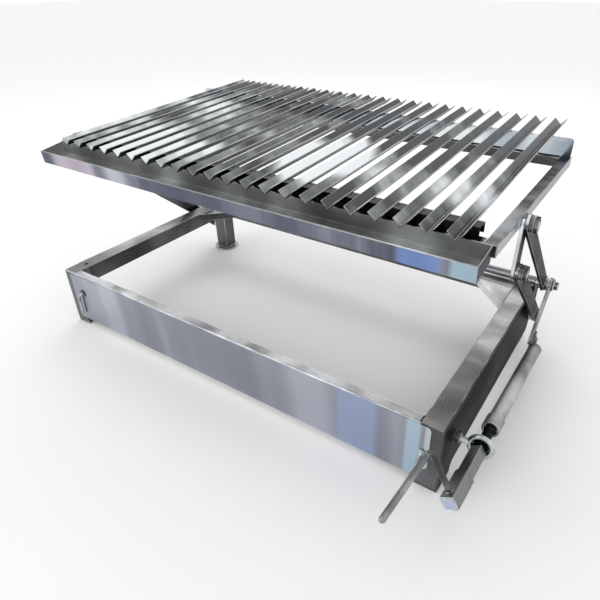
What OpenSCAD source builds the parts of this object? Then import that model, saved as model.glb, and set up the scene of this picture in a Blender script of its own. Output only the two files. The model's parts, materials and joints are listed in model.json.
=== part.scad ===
// Parrilla grill: an open base frame for the embers, and a V-bar grate on two pairs of
// parallel arms. A crank turns a screw, the screw draws a tube, and the tube swings a
// lever on the lift shaft, so the grate rises and stays level. A trough at the front
// catches the fat that runs down the bars.
// Millimetres, +Z up, +Y away from the cook, +X to the right. The origin is on the
// ground in the middle of the whole part's outline.

/* [Base frame] */
// Width of the base frame, left to right
base_width = 1000; // [860:10:1200]
// Depth of the base frame, front to back
base_depth = 550; // [520:10:640]
// Height of the top of the base frame
base_height = 148; // [140:1:170]
// Side of the square tube of the rails and legs
tube = 40; // [34:1:44]
// Wall of the square tube
tube_wall = 2; // [1.5:0.5:3]
// Depth of the flat tube behind the front panel
front_tube_depth = 20; // [15:1:30]
// Height of the flat tube at the rear
rear_tube_height = 30; // [26:1:34]
// Length of a corner gusset along each rail
gusset_leg = 88; // [60:1:110]
// Depth of the gusset's folded lip
gusset_lip = 20; // [10:1:30]
// Thickness of the gusset sheet
gusset_sheet = 3; // [2:0.5:4]
// How far the rear legs stand in from the sides
rear_leg_inset = 14; // [0:1:20]
// Diameter of the rear foot discs
foot_disc_d = 74; // [56:1:80]
// Thickness of the rear foot discs
foot_disc_thick = 5; // [3:0.5:8]
// Height of the plastic glides under the front legs
glide_height = 3; // [2:0.5:5]
// Diameter of the vent hole in the left rail
vent_d = 10; // [5:0.5:14]

/* [Sheets] */
// Thickness of the plate on the right side
cheek_thick = 3; // [2:0.5:4]
// Height of the arch under the right side plate
cheek_arch = 20; // [10:1:30]
// Length of the front foot of the right side plate
cheek_foot = 58; // [45:1:80]
// Radius of the arch's corners
cheek_round = 16; // [4:1:20]
// Length of the front panel
panel_length = 955; // [820:5:980]
// Height of the front panel
panel_height = 125; // [110:1:135]
// Thickness of the front panel
panel_thick = 2; // [1.5:0.5:3]
// Drop of the panel's top edge below the frame's top
panel_drop = 3; // [1:0.5:8]
// Corner radius of the front panel
panel_round = 8; // [3:1:15]

/* [Panel latches] */
// Diameter of the bent rod of a latch
latch_rod_d = 6; // [5:0.5:7]
// Distance of the left latch from the panel's end
latch_inset = 32; // [24:1:45]
// Depth of the left latch's axis below the frame's top
latch_depth = 51; // [48:1:56]
// Distance of the right latch from the panel's end
right_latch_inset = 12; // [10:1:16]
// Depth of the right latch's axis below the frame's top
right_latch_depth = 62; // [48:1:66]
// Length of the hanging part of the rod
latch_drop = 54; // [35:1:60]
// Sideways step of the rod
latch_step = 11; // [8:1:16]
// Diameter of the latch washer
latch_washer_d = 19; // [14:1:24]

/* [Lift linkage] */
// Distance of the lift shaft from the base frame's rear edge
shaft_setback = 10; // [8:1:30]
// Height of the lift shaft above the base frame's top
shaft_rise = 12.5; // [12:0.5:30]
// Distance between the two pivots of an arm
arm_length = 416; // [380:1:430]
// Slope of the arms in the photographed position
arm_angle = 40.3; // [38:0.1:44]
// Distance between the upper and the lower arm's pivots
pivot_spacing = 89; // [80:1:96]
// Width of the arms, hangers and uprights
arm_width = 30; // [28:1:34]
// Thickness of the arms and hangers
arm_thick = 6; // [5:0.5:8]
// Thickness of the uprights
upright_thick = 4; // [3:0.5:5]
// Diameter of the bosses on the uprights
boss_d = 28; // [26:1:32]
// Side play between plates that move on each other
side_play = 0.3; // [0.2:0.05:0.5]
// Radial clearance of the pivots
pivot_play = 0.05; // [0.02:0.01:0.1]
// Diameter of the grate's pivot bolts
bolt_d = 16; // [12:1:18]
// Diameter of the lower arms' base pins
base_pin_d = 12; // [10:1:14]
// Diameter of the base pins' heads
pin_head_d = 20; // [18:1:24]
// Thickness of the base pins' heads
pin_head_thick = 4; // [3:0.5:6]
// Diameter of the turned collars on the bolts
collar_d = 29; // [27:1:32]
// Thickness of the collars
collar_thick = 7; // [6:0.5:10]
// Width across flats of the hexagon nuts
nut_flats = 24; // [20:1:26]
// Thickness of the hexagon nuts
nut_thick = 5; // [4:0.5:8]
// Diameter of the lift shaft across the grill
shaft_d = 20; // [18:1:22]
// Diameter of the shaft's threaded ends
shaft_stud_d = 12; // [10:1:14]
// Width across flats of the shaft's end nuts
end_nut_flats = 19; // [17:1:22]
// Thickness of the shaft's end nuts
end_nut_thick = 9; // [7:0.5:10]
// Thickness of the washers under the end nuts
end_washer = 4.5; // [3:0.5:6]
// Diameter of the lever's hub
hub_d = 32; // [30:1:36]
// Length of the lever's hub
hub_length = 8.4; // [6:0.2:10]
// Distance from the lift shaft to the lever's pin
lever_length = 137; // [126:0.5:140]
// Lean of the lever, forward of straight down
lever_angle = 46.2; // [42:0.1:48]
// Width of the lever
lever_width = 22; // [20:1:25]
// Thickness of the lever
lever_thick = 6.8; // [5:0.2:8]
// Diameter of the lever's pin
lever_pin_d = 12; // [10:0.5:13]

/* [Crank and screw] */
// Gap between the lever and the draw tube
lever_gap = 0.55; // [0.4:0.05:1]
// Distance of the eye bolt from the frame's front
eye_setback = 50; // [44:1:60]
// Depth of the eye bolt below the frame's top
eye_depth = 50; // [44:1:56]
// Outer diameter of the draw tube
draw_tube_d = 26.9; // [26:0.1:28]
// Wall of the draw tube
draw_tube_wall = 2.3; // [2:0.1:2.6]
// Gap between the eye bolt's centre and the draw nut
draw_nut_gap = 50; // [44:1:54]
// Diameter of the draw nut
draw_nut_d = 32; // [30:0.5:34]
// Length of the draw nut
draw_nut_length = 33; // [28:1:40]
// Diameter of the recess in the draw nut's front
draw_recess_d = 23; // [21:0.5:25]
// Diameter of the threaded rod
screw_d = 18; // [16:0.5:19]
// Length of the threaded rod behind the eye bolt
screw_length = 250; // [200:1:256]
// Clearance around the threaded rod in its nut and bush
screw_play = 0.05; // [0.02:0.01:0.1]
// Mean radius of the eye bolt's ring
eye_radius = 19; // [18:0.5:21]
// Thickness of the eye bolt's ring
eye_thick = 10; // [9:0.5:11]
// Diameter of the eye bolt's shank
eye_shank_d = 12; // [10:1:14]
// Side of the square crank shaft
crank_square = 20; // [18:1:22]
// Side of the square sleeve at the shaft's front
sleeve_square = 24; // [23:0.5:28]
// Length of the sleeve
sleeve_length = 67; // [36:1:70]
// Length of the crank shaft in front of the eye bolt
crank_length = 143; // [120:1:150]
// Diameter of the handle's rod
handle_d = 10; // [8:0.5:12]
// Distance of the handle's arm from the sleeve's front end
handle_setback = 14; // [8:0.5:20]
// Distance of the handle's bend from the shaft
handle_reach = 84.5; // [65:0.5:90]
// Length of the handle's grip
grip_length = 137; // [110:1:180]
// Outward lean of the grip
grip_splay = 1; // [0:0.5:12]
// Turn of the crank in the photographed position
crank_turn = 32; // [0:0.1:60]
// Thickness of the ear that takes the lever's pin
ear_thick = 4; // [3:0.5:5]
// Play between the lever and the ear
ear_play = 0.9; // [0.8:0.1:1.2]
// Distance of the draw tube's closed end ahead of the pin
tube_end_gap = 34; // [30:1:40]

/* [Grate frame] */
// Width of the grate frame outside its rails
grate_width = 1012; // [1008:1:1024]
// Length of the grate frame's rails
rail_length = 480; // [440:5:500]
// Distance of the rails' front ends ahead of the upper pivots
rail_lead = 135; // [120:1:150]
// Height of the rails' top above the upper pivots
rail_over_pivot = 14; // [8:1:16]
// Side of the square tube of the grate frame
rail = 20; // [18:1:22]
// Wall of the grate frame's tube
rail_wall = 1.5; // [1:0.5:2]
// Height of the plate that carries the bars at the rear
back_plate_height = 39; // [32:1:45]
// Thickness of the rear plate
back_plate_thick = 3; // [2:0.5:4]
// Corner radius of the rear plate
back_plate_round = 8; // [3:1:12]
// Height of the doubled edge along the rear plate's top
back_lip_height = 10; // [6:1:16]

/* [Drip trough] */
// Length of the trough
trough_length = 1000; // [960:5:1008]
// Depth of the trough, front to back
trough_depth = 59; // [45:1:80]
// Height of the trough's front wall
trough_front = 26; // [18:1:35]
// Drop of the trough's lip below the rails' top
trough_drop = 9; // [4:1:15]
// Rise of the trough's floor towards the back
trough_rise = 8; // [3:1:12]
// Thickness of the trough's sheet
trough_sheet = 1.5; // [1:0.5:2.5]
// Depth of the fold along the lip
lip_fold = 4; // [2:0.5:8]

/* [V bars] */
// Number of V bars
bar_count = 22; // [16:1:22]
// Distance between the V bars
bar_pitch = 42.9; // [38:0.1:43.5]
// Flange of the V bars' angle section
bar_flange = 19; // [16:0.5:20]
// Thickness of the V bars
bar_thick = 2; // [1.5:0.5:3]
// Length of the V bars
bar_length = 614; // [560:1:680]
// Fall of the V bars towards the trough
bar_tilt = 2.88; // [2:0.02:3.6]
// Overhang of the bars' front ends past the front cross bar
bar_overhang = 23; // [15:1:40]
// Depth of the comb that carries the bars at the front
comb_depth = 24; // [18:1:34]
// Height of the comb
comb_height = 17; // [13:0.5:20]
// Wall of the comb
comb_wall = 2; // [1.5:0.5:3]
// How far the comb's ends pass the outer bars
comb_end = 24; // [14:1:28]
// Distance of the comb behind the frame's front face
comb_setback = 11; // [8:1:30]
// Clearance of the bars in the rear plate's notches
notch_play = 0.5; // [0.3:0.1:1]

/* [Hidden] */
$fn = 64;
front_y = -base_depth / 2;
rear_y = base_depth / 2;
side_x = base_width / 2;
rail_z = base_height - tube;
right_x = side_x - cheek_thick;
panel_bottom = base_height - panel_drop - panel_height;
left_latch_at = [latch_inset - panel_length / 2, base_height - latch_depth];
right_latch_at = [panel_length / 2 - right_latch_inset, base_height - right_latch_depth];
latch_reach = 4;
latch_tail = 8;

// Pivots of the two pairs of arms, as [y, z]
lift_pivot = [rear_y - shaft_setback, base_height + shaft_rise];
base_pivot = lift_pivot - [0, pivot_spacing];
top_pivot = lift_pivot + arm_length * [-cos(arm_angle), sin(arm_angle)];
hang_pivot = top_pivot - [0, pivot_spacing];
lever_end = lift_pivot - lever_length * [sin(lever_angle), cos(lever_angle)];

// Planes of the plates on each side, counted outwards
plate_x = grate_width / 2;
arm_x = plate_x + arm_thick + side_play;
arm_out_x = arm_x + arm_thick;
collar_x = arm_out_x + side_play;
nut_x = collar_x + collar_thick;
bolt_end_x = nut_x + nut_thick;
lever_x = arm_out_x + hub_length;
lever_out_x = lever_x + lever_thick;
drive_x = lever_out_x + lever_gap + draw_tube_d / 2;
ear_x = lever_out_x + ear_play;
end_stack = end_washer + end_nut_thick;

// Drive line, from the eye bolt down to the lever's pin
eye_y = front_y + eye_setback;
eye_z = base_height - eye_depth;
line_tilt = atan2(eye_z - lever_end[1], lever_end[0] - eye_y);
line_length = norm(lever_end - [eye_y, eye_z]);
eye_inner = eye_radius - eye_thick / 2;
eye_outer = eye_radius + eye_thick / 2;
bush_r = eye_inner - 0.4;
bush_half = 7;
bush_gap = 2;
thrust_thick = 6;
handle_y = -crank_length + handle_setback;
bend_r = handle_d * 1.3;
draw_bore = draw_tube_d / 2 - draw_tube_wall;
recess_deep = 9;
cap_thick = 4;
dome_length = 8;
pin_washer = 2;
pin_nut = 3.3;
// Where the lever's pin wanders in the ear, which the straight-line gearing allows
pin_ahead = 1.4;
pin_behind = 4.4;
pin_above = 7;
pin_below = 2.3;
ear_wall = 5.5;

// Grate frame
rail_top = top_pivot[1] + rail_over_pivot;
rail_front = top_pivot[0] - rail_lead;
rail_rear = rail_front + rail_length;
inner_x = grate_width / 2 - rail;
bar_reach = bar_flange * cos(45);
bar_high = bar_reach + bar_thick * cos(45);
bar_front_y = rail_front - bar_overhang;
comb_y = rail_front + comb_setback;
// The bars' lowest line touches the front cross bar's rear top edge
bar_front_z = rail_top + 1 + (comb_y - bar_front_y - comb_setback) * tan(bar_tilt);
bar_first_x = -bar_pitch * (bar_count - 1) / 2;
comb_half = -bar_first_x + comb_end;
back_y = rail_rear - rail / 2 - back_plate_thick / 2;
trough_y = rail_front - trough_depth;
trough_lip_z = rail_top - trough_drop;
trough_low_z = trough_lip_z - trough_front;

// Tip of the grip, along the drive line and up from it
grip_tip_y = handle_y - bend_r * (1 - sin(grip_splay)) - grip_length * cos(grip_splay);
grip_tip_up = handle_reach - bend_r * (1 - cos(grip_splay)) + grip_length * sin(grip_splay);

// Outline of the whole part, for the origin
outline_left = -max(bolt_end_x, arm_out_x + end_stack);
outline_right = drive_x + eye_outer;
outline_front = eye_y + grip_tip_y * cos(line_tilt)
  + grip_tip_up * cos(crank_turn) * sin(line_tilt) - handle_d / 2;
outline_rear = bar_front_y + bar_length * cos(bar_tilt);
middle = [(outline_left + outline_right) / 2, (outline_front + outline_rear) / 2, 0];

steel = [0.72, 0.73, 0.74];
bright = [0.82, 0.84, 0.86];
satin = [0.6, 0.61, 0.63];
dark = [0.15, 0.15, 0.16];

// Moves everything so that the origin is in the middle of the outline.
module placed() {
  translate(-middle) children();
}

// Stands a side view, drawn as [y, z], on the plane x and gives it a thickness.
module side_view(x, thick) {
  translate([x, 0, 0]) rotate([90, 0, 90]) linear_extrude(thick) children();
}

// A round bar along X.
module bar_x(x, length, at, d) {
  translate([x, at[0], at[1]]) rotate([0, 90, 0]) cylinder(d = d, h = length);
}

// A round bar along Y.
module bar_y(x, y, z, length, d) {
  translate([x, y, z]) rotate([-90, 0, 0]) cylinder(d = d, h = length);
}

// A hexagon nut along X.
module nut_x_way(x, length, at, flats) {
  translate([x, at[0], at[1]]) rotate([0, 90, 0])
    cylinder(d = flats / cos(30), h = length, $fn = 6);
}

// A flat bar with round ends between two points of a side view.
module link_view(a, b, width) {
  run = b - a;
  translate(a) circle(d = width);
  translate(b) circle(d = width);
  translate(a) rotate(atan2(run[1], run[0])) translate([0, -width / 2])
    square([norm(run), width]);
}

// A square tube along X, Y or Z, closed by its wall at the far end.
module tube_box(size, wall, open) {
  difference() {
    cube(size);
    translate([open[0] == 1 ? -1 : wall, open[1] == 1 ? -1 : wall, open[2] == 1 ? -1 : wall])
      cube([size[0] - (open[0] == 1 ? wall - 1 : 2 * wall),
        size[1] - (open[1] == 1 ? wall - 1 : 2 * wall),
        size[2] - (open[2] == 1 ? wall - 1 : 2 * wall)]);
  }
}

// The side rails run from the front legs to the rear.
module side_rail() {
  tube_box([tube, base_depth - tube, tube], tube_wall, [0, 1, 0]);
}

module base_left_rail() {
  color(satin) placed() difference() {
    translate([-side_x, front_y + tube, rail_z]) side_rail();
    translate([-side_x + tube / 2, front_y + tube + 0.7 * vent_d, base_height - tube_wall - 1])
      cylinder(d = vent_d, h = tube_wall + 2);
  }
}

module base_right_rail() {
  color(satin) placed() translate([right_x - tube, front_y + tube, rail_z]) side_rail();
}

module base_front_tube() {
  color(satin) placed() translate([-side_x + tube, front_y, rail_z])
    tube_box([side_x + right_x - 2 * tube, front_tube_depth, tube], tube_wall, [1, 0, 0]);
}

module base_rear_tube() {
  color(satin) placed()
    translate([-side_x + tube, rear_y - tube, base_height - rear_tube_height])
      tube_box([side_x + right_x - 2 * tube, tube, rear_tube_height], tube_wall, [1, 0, 0]);
}

// A triangle of folded sheet in a rear corner, flush with the rails.
module gusset(x, side) {
  translate([x, rear_y - tube, 0]) mirror([side < 0 ? 0 : 1, 0, 0]) difference() {
    translate([0, 0, base_height - gusset_lip]) linear_extrude(gusset_lip)
      polygon([[0, 0], [gusset_leg, 0], [0, -gusset_leg]]);
    translate([0, 0, base_height - gusset_lip - gusset_sheet]) linear_extrude(gusset_lip)
      polygon([[-1, 1], [gusset_leg - 1.42 * gusset_sheet + 1, 1],
        [-1, -gusset_leg + 1.42 * gusset_sheet - 1]]);
  }
}

module gusset_left() {
  color(bright) placed() gusset(-side_x + tube, -1);
}

module gusset_right() {
  color(bright) placed() gusset(right_x - tube, 1);
}

// A front leg is a tube with a closed top, standing on its plastic glide.
module front_leg() {
  translate([0, 0, glide_height])
    tube_box([tube, tube, base_height - glide_height], tube_wall, [0, 0, 1]);
}

module front_left_leg() {
  color(steel) placed() translate([-side_x, front_y, 0]) front_leg();
}

module front_right_leg() {
  color(steel) placed() difference() {
    translate([right_x - tube, front_y, 0]) front_leg();
    bar_y(right_latch_at[0], front_y - 1, right_latch_at[1], tube_wall + latch_reach + 3,
      latch_rod_d + 2 * pivot_play);
  }
}

module glide() {
  cube([tube, tube, glide_height]);
  translate([tube_wall, tube_wall, glide_height])
    cube([tube - 2 * tube_wall, tube - 2 * tube_wall, 3 * glide_height]);
}

module front_left_glide() {
  color(dark) placed() translate([-side_x, front_y, 0]) glide();
}

module front_right_glide() {
  color(dark) placed() translate([right_x - tube, front_y, 0]) glide();
}

// A rear leg stands under the corner of the frame.
module rear_leg() {
  translate([0, 0, foot_disc_thick])
    tube_box([tube, tube, rail_z - foot_disc_thick], tube_wall, [0, 0, 1]);
}

module rear_left_leg() {
  color(steel) placed() translate([-side_x + rear_leg_inset, rear_y - tube, 0]) rear_leg();
}

module rear_right_leg() {
  color(steel) placed() translate([right_x - tube - rear_leg_inset, rear_y - tube, 0])
    rear_leg();
}

module foot_disc() {
  cylinder(d = foot_disc_d, h = foot_disc_thick);
}

module rear_left_foot() {
  color(steel) placed()
    translate([-side_x + rear_leg_inset + tube / 2, rear_y - tube / 2, 0]) foot_disc();
}

module rear_right_foot() {
  color(steel) placed()
    translate([right_x - rear_leg_inset - tube / 2, rear_y - tube / 2, 0])
      intersection() {
        foot_disc();
        translate([-foot_disc_d, -foot_disc_d, -1])
          cube([foot_disc_d + tube / 2 + rear_leg_inset, 2 * foot_disc_d, 4 * foot_disc_thick]);
      }
}

// The right side plate runs to the ground at its front foot, and stays clear of the
// ground behind it. Its lower rear corner is round.
module side_cheek() {
  arch_from = front_y + cheek_foot;
  color(steel) placed() side_view(right_x, cheek_thick) difference() {
    translate([front_y, 0]) square([base_depth, base_height - 1]);
    translate([arch_from, -1])
      square([base_depth, cheek_arch + 1 - cheek_round]);
    translate([arch_from + cheek_round, -1]) square([base_depth, cheek_arch + 1]);
    translate([arch_from + cheek_round, cheek_arch - cheek_round]) circle(r = cheek_round);
    translate([rear_y - cheek_round, cheek_arch - 1]) difference() {
      square([cheek_round + 1, cheek_round + 1]);
      translate([0, cheek_round + 1]) circle(r = cheek_round);
    }
  }
}

// A rectangle with round corners, from its lower left corner.
module round_rect(size, r) {
  translate([r, 0]) square([size[0] - 2 * r, size[1]]);
  translate([0, r]) square([size[0], size[1] - 2 * r]);
  for (x = [r, size[0] - r], y = [r, size[1] - r]) translate([x, y]) circle(r = r);
}

module front_panel() {
  color(bright) placed() translate([-panel_length / 2, front_y, panel_bottom])
    rotate([90, 0, 0]) linear_extrude(panel_thick) difference() {
      round_rect([panel_length, panel_height], panel_round);
      for (p = [left_latch_at, right_latch_at])
        translate(p + [panel_length / 2, -panel_bottom]) circle(d = latch_rod_d + 2 * pivot_play);
    }
}

// A latch: a rod bent down in front of the panel, with a washer. The left one has a tongue
// that turns up behind the front tube, the right one ends inside the leg.
module latch(at, tongue) {
  out = front_y - panel_thick;
  rod_y = out - 2.5 - latch_rod_d / 2;
  back_y = front_y + tube_wall + latch_reach;
  knee = at + [side_play - latch_step, -7];
  tip = knee - [4, latch_drop];
  tongue_y = front_y + front_tube_depth + side_play;
  bar_y(at[0], rod_y, at[1], (tongue ? tongue_y + latch_rod_d / 2 : back_y) - rod_y,
    latch_rod_d);
  bar_y(at[0], out - 2, at[1], 2 - side_play, latch_washer_d);
  rod_between([at[0], rod_y, at[1]], [knee[0], rod_y, knee[1]], latch_rod_d);
  rod_between([knee[0], rod_y, knee[1]], [tip[0], rod_y, tip[1]], latch_rod_d);
  if (tongue) translate([at[0] - latch_rod_d, tongue_y, at[1] - latch_tail])
    cube([2 * latch_rod_d, latch_rod_d / 2, rail_z - at[1] + latch_tail + 12]);
}

// A round rod between two points, with a slightly fuller ball at each end.
module rod_between(a, b, d) {
  run = b - a;
  translate(a) sphere(d = 1.05 * d);
  translate(b) sphere(d = 1.05 * d);
  translate(a) rotate([0, acos(run[2] / norm(run)), atan2(run[1], run[0])])
    cylinder(d = d, h = norm(run));
}

module left_latch() {
  color(bright) placed() latch(left_latch_at, true);
}

module right_latch() {
  color(bright) placed() latch(right_latch_at, false);
}

// An upright: a plate on the frame's side, with a boss for the lift shaft and a boss for
// the lower arm's pin.
module upright() {
  difference() {
    union() {
      side_view(side_x, upright_thick) link_view(base_pivot, lift_pivot, arm_width);
      for (p = [base_pivot, lift_pivot])
        bar_x(side_x, arm_x - side_play - side_x, p, boss_d);
    }
    bar_x(side_x - 1, arm_x - side_x + 2, lift_pivot, shaft_d + 2 * pivot_play);
    bar_x(side_x - 1, arm_x - side_x + 2, base_pivot, base_pin_d);
  }
}

module right_upright() {
  color(steel) placed() upright();
}

module left_upright() {
  color(steel) placed() mirror([1, 0, 0]) upright();
}

// The pin of a lower arm, with a head that keeps the arm on.
module base_pin() {
  bar_x(side_x, collar_x - side_x, base_pivot, base_pin_d);
  bar_x(collar_x, pin_head_thick, base_pivot, pin_head_d);
}

module right_base_pin() {
  color(bright) placed() base_pin();
}

module left_base_pin() {
  color(bright) placed() mirror([1, 0, 0]) base_pin();
}

// Things on the drive line, drawn from the eye bolt along +Y.
module on_line() {
  translate([drive_x, eye_y, eye_z]) rotate([-line_tilt, 0, 0]) children();
}

// The eye bolt carries the front of the drive line.
module eye_bolt() {
  color(bright) placed() {
    on_line() rotate([90, 0, 0])
      rotate_extrude() translate([eye_radius, 0]) circle(d = eye_thick);
    bar_x(side_x, drive_x - eye_radius - side_x, [eye_y, eye_z], eye_shank_d);
  }
}

module eye_bolt_nut() {
  color(bright) placed() difference() {
    union() {
      bar_x(side_x, 2.5, [eye_y, eye_z], 2 * eye_shank_d);
      nut_x_way(side_x + 2.5, 0.8 * eye_shank_d, [eye_y, eye_z], 1.6 * eye_shank_d);
    }
    bar_x(side_x - 1, eye_shank_d + 4, [eye_y, eye_z], eye_shank_d);
  }
}

// The lift shaft ties the two upper arms together, and ends in threaded studs.
module lift_shaft() {
  color(steel) placed() {
    bar_x(-arm_out_x, arm_out_x + lever_out_x, lift_pivot, shaft_d);
    bar_x(-arm_out_x - end_stack, arm_out_x + lever_out_x + 2 * end_stack, lift_pivot,
      shaft_stud_d);
  }
}

module upper_arm() {
  difference() {
    side_view(arm_x, arm_thick) union() {
      link_view(lift_pivot, top_pivot, arm_width);
      translate(lift_pivot) circle(d = shaft_d + 16);
    }
    bar_x(arm_x - 1, arm_thick + 2, lift_pivot, shaft_d);
    bar_x(arm_x - 1, arm_thick + 2, top_pivot, bolt_d + 2 * pivot_play);
  }
}

module right_upper_arm() {
  color(satin) placed() upper_arm();
}

module left_upper_arm() {
  color(satin) placed() mirror([1, 0, 0]) upper_arm();
}

// The hub carries the lever out to the drive line.
module lever_hub() {
  color(steel) placed() difference() {
    bar_x(arm_out_x, hub_length, lift_pivot, hub_d);
    bar_x(arm_x, hub_length + arm_thick + 2, lift_pivot, shaft_d);
  }
}

module lift_lever() {
  color(bright) placed() difference() {
    side_view(lever_x, lever_thick) union() {
      link_view(lift_pivot, lever_end, lever_width);
      translate(lift_pivot) circle(d = hub_d);
    }
    bar_x(lever_x - 1, lever_thick + 2, lift_pivot, shaft_d);
    bar_x(lever_x - 1, lever_thick + 2, lever_end, lever_pin_d);
  }
}

// The lever's pin reaches through the ear, and its washer covers the ear's opening.
module lever_pin() {
  washer_x = ear_x + ear_thick + side_play;
  color(bright) placed() {
    bar_x(lever_x, washer_x - lever_x, lever_end, lever_pin_d);
    bar_x(washer_x, pin_washer, lever_end, boss_d);
    nut_x_way(washer_x + pin_washer, pin_nut, lever_end, end_nut_flats);
  }
}

module shaft_end_nuts() {
  color(bright) placed()
    for (x = [lever_out_x, -arm_out_x - end_stack]) difference() {
      union() {
        bar_x(x < 0 ? x + end_nut_thick : x, end_washer, lift_pivot, boss_d);
        nut_x_way(x < 0 ? x : x + end_washer, end_nut_thick, lift_pivot, end_nut_flats);
      }
      bar_x(x - 1, end_stack + 2, lift_pivot, shaft_stud_d);
    }
}

module lower_arm() {
  difference() {
    side_view(arm_x, arm_thick) link_view(base_pivot, hang_pivot, arm_width);
    bar_x(arm_x - 1, arm_thick + 2, base_pivot, base_pin_d + 2 * pivot_play);
    bar_x(arm_x - 1, arm_thick + 2, hang_pivot, bolt_d + 2 * pivot_play);
  }
}

module right_lower_arm() {
  color(satin) placed() lower_arm();
}

module left_lower_arm() {
  color(satin) placed() mirror([1, 0, 0]) lower_arm();
}

// The grate frame's side rails are closed at the front.
module grate_rail() {
  translate([inner_x, rail_rear, rail_top - rail]) mirror([0, 1, 0])
    tube_box([rail, rail_length, rail], rail_wall, [0, 1, 0]);
}

module grate_right_rail() {
  color(satin) placed() grate_rail();
}

module grate_left_rail() {
  color(satin) placed() mirror([1, 0, 0]) grate_rail();
}

module grate_cross(y) {
  translate([-inner_x, y, rail_top - rail])
    tube_box([2 * inner_x, rail, rail], rail_wall, [1, 0, 0]);
}

module grate_front_bar() {
  color(satin) placed() grate_cross(rail_front);
}

module grate_rear_bar() {
  color(satin) placed() grate_cross(rail_rear - rail);
}

// The V section of a bar, drawn as [x, z] from its lowest line.
module bar_section() {
  polygon([[0, 0], [bar_reach, bar_reach],
    [bar_reach - bar_thick * cos(45), bar_high], [0, bar_thick / cos(45)],
    [bar_thick * cos(45) - bar_reach, bar_high], [-bar_reach, bar_reach]]);
}

// The space that a bar takes with the space over it.
module bar_notch(play) {
  reach = bar_high + 10;
  polygon([[0, -play], [reach + play, reach], [-reach - play, reach]]);
}

// Lays something along each bar, from its front end backwards.
module along_bars(length) {
  for (i = [0:bar_count - 1])
    translate([bar_first_x + i * bar_pitch, bar_front_y, bar_front_z])
      rotate([bar_tilt, 0, 0]) rotate([90, 0, 0]) translate([0, 0, -length])
        linear_extrude(length) children();
}

// A standing plate whose notches hold the bars, with a doubled top edge.
module back_plate() {
  top = rail_top + back_plate_height;
  width = grate_width - 2;
  color(bright) placed() difference() {
    union() {
      translate([-width / 2, back_y + back_plate_thick, rail_top]) rotate([90, 0, 0])
        linear_extrude(back_plate_thick) union() {
          round_rect([width, back_plate_height], back_plate_round);
          square([width, back_plate_height / 2]);
        }
      translate([-inner_x, back_y - 1.5, top - back_lip_height])
        cube([2 * inner_x, 1.5, back_lip_height]);
    }
    along_bars(bar_length) bar_notch(notch_play * 1.42);
  }
}

// The trough's section, as [y, z] points from the lip round to the frame.
trough_points = [[trough_y, trough_lip_z], [trough_y + 2, trough_low_z],
  [rail_front - 2, trough_low_z + trough_rise], [rail_front, rail_top]];

module trough_inside() {
  s = trough_sheet;
  polygon([trough_points[0] + [s, 1], trough_points[1] + [s, s],
    trough_points[2] + [-s, s], trough_points[3] + [-s, 1],
    trough_points[3] + [-s, 20], trough_points[0] + [s, 20]]);
}

module drip_trough() {
  half = trough_length / 2;
  color(bright) placed() {
    difference() {
      side_view(-half, trough_length) polygon(trough_points);
      side_view(-half + trough_sheet, trough_length - 2 * trough_sheet) trough_inside();
    }
    translate([-half, trough_y, trough_lip_z - trough_sheet])
      cube([trough_length, lip_fold, trough_sheet]);
  }
}

module hanger() {
  difference() {
    side_view(plate_x, arm_thick) link_view(hang_pivot, top_pivot, arm_width);
    bar_x(plate_x - 1, arm_thick + 2, hang_pivot, bolt_d);
    bar_x(plate_x - 1, arm_thick + 2, top_pivot, bolt_d);
  }
}

module right_hanger() {
  color(steel) placed() hanger();
}

module left_hanger() {
  color(steel) placed() mirror([1, 0, 0]) hanger();
}

// The bolts stand out of the hangers and carry the arms.
module bolts() {
  for (p = [hang_pivot, top_pivot]) bar_x(plate_x, bolt_end_x - plate_x, p, bolt_d);
}

module right_bolts() {
  color(bright) placed() bolts();
}

module left_bolts() {
  color(bright) placed() mirror([1, 0, 0]) bolts();
}

// A collar and a nut hold each arm on its bolt.
module nuts() {
  for (p = [hang_pivot, top_pivot]) difference() {
    union() {
      bar_x(collar_x, collar_thick, p, collar_d);
      nut_x_way(nut_x, nut_thick, p, nut_flats);
    }
    bar_x(collar_x - 1, collar_thick + nut_thick + 2, p, bolt_d);
  }
}

module right_nuts() {
  color(bright) placed() nuts();
}

module left_nuts() {
  color(bright) placed() mirror([1, 0, 0]) nuts();
}

module v_bars() {
  color(steel) placed() along_bars(bar_length) bar_section();
}

// A notched channel on the front cross bar that the V bars are welded into.
module bar_comb() {
  color(dark) placed() difference() {
    translate([-comb_half, comb_y, rail_top]) cube([2 * comb_half, comb_depth, comb_height]);
    translate([-comb_half - 1, comb_y + comb_wall, rail_top - 1])
      cube([2 * comb_half + 2, comb_depth - 2 * comb_wall, comb_height + 1 - comb_wall]);
    along_bars(bar_length / 2) bar_notch(0);
  }
}

// A bush carries the screw, and is loose enough to tip a little in the eye.
module eye_bush() {
  color(dark) placed() on_line() difference() {
    bar_y(0, -bush_half, 0, 2 * bush_half, 2 * bush_r);
    bar_y(0, -bush_half - 1, 0, 2 * bush_half + 2, screw_d + 2 * screw_play);
  }
}

// The draw tube runs from the draw nut back to the lever.
module draw_tube() {
  from = draw_nut_gap + draw_nut_length;
  length = line_length - tube_end_gap - from;
  color(steel) placed() on_line() difference() {
    bar_y(0, from, 0, length, draw_tube_d);
    bar_y(0, from - 1, 0, length + 2, 2 * draw_bore);
  }
}

// The draw nut is a threaded socket on the front of the draw tube.
module draw_nut() {
  color(satin) placed() on_line() difference() {
    bar_y(0, draw_nut_gap, 0, draw_nut_length, draw_nut_d);
    bar_y(0, draw_nut_gap - 1, 0, draw_nut_length + 2, screw_d + 2 * screw_play);
    bar_y(0, draw_nut_gap - 1, 0, recess_deep + 1, draw_recess_d);
  }
}

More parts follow.
